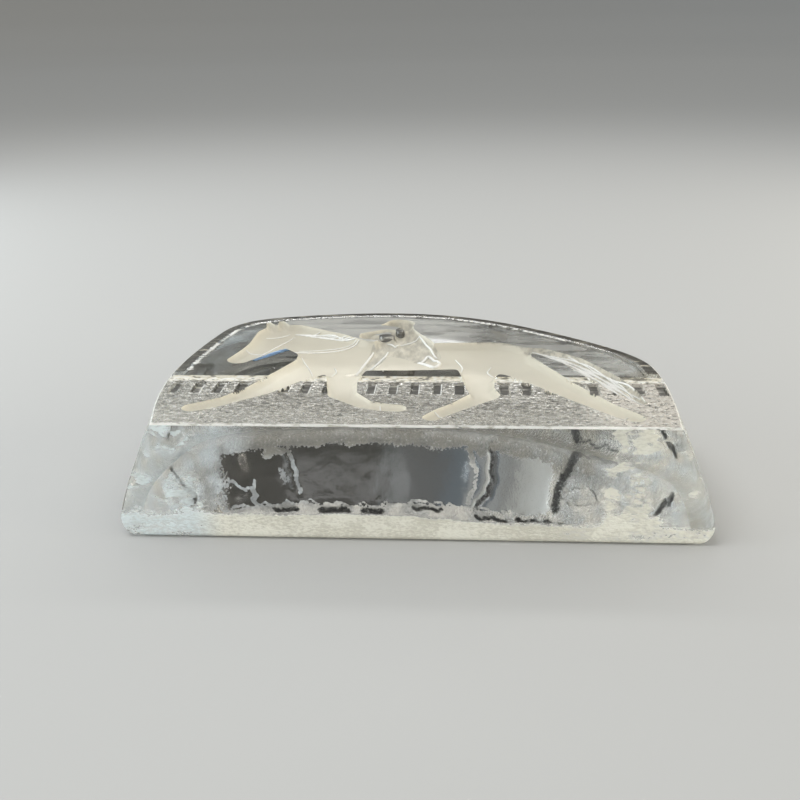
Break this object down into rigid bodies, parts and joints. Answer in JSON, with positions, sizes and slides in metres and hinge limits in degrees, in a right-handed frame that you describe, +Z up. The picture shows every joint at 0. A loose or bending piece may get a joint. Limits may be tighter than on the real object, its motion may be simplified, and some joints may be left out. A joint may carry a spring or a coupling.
{
  "type": "crystal paperweight",
  "caption": "Thick clear crystal slab with a curved crest, resting flat, with a galloping racehorse, its rider and a running rail sunk into its upper face.",
  "frame": {"origin": "middle of the footprint, on the flat underside", "axes": "+X to the right along the straight front face, +Y away from the front face towards the curved crest, +Z up through the face that carries the relief"},
  "size_m": [0.1574, 0.1102, 0.0306],
  "materials": {
    "crystal": "polished clear crystal with frosted sunk relief"
  },
  "bodies": {
    "root": {"crystal_block": "crystal"}
  },
  "joints": []
}
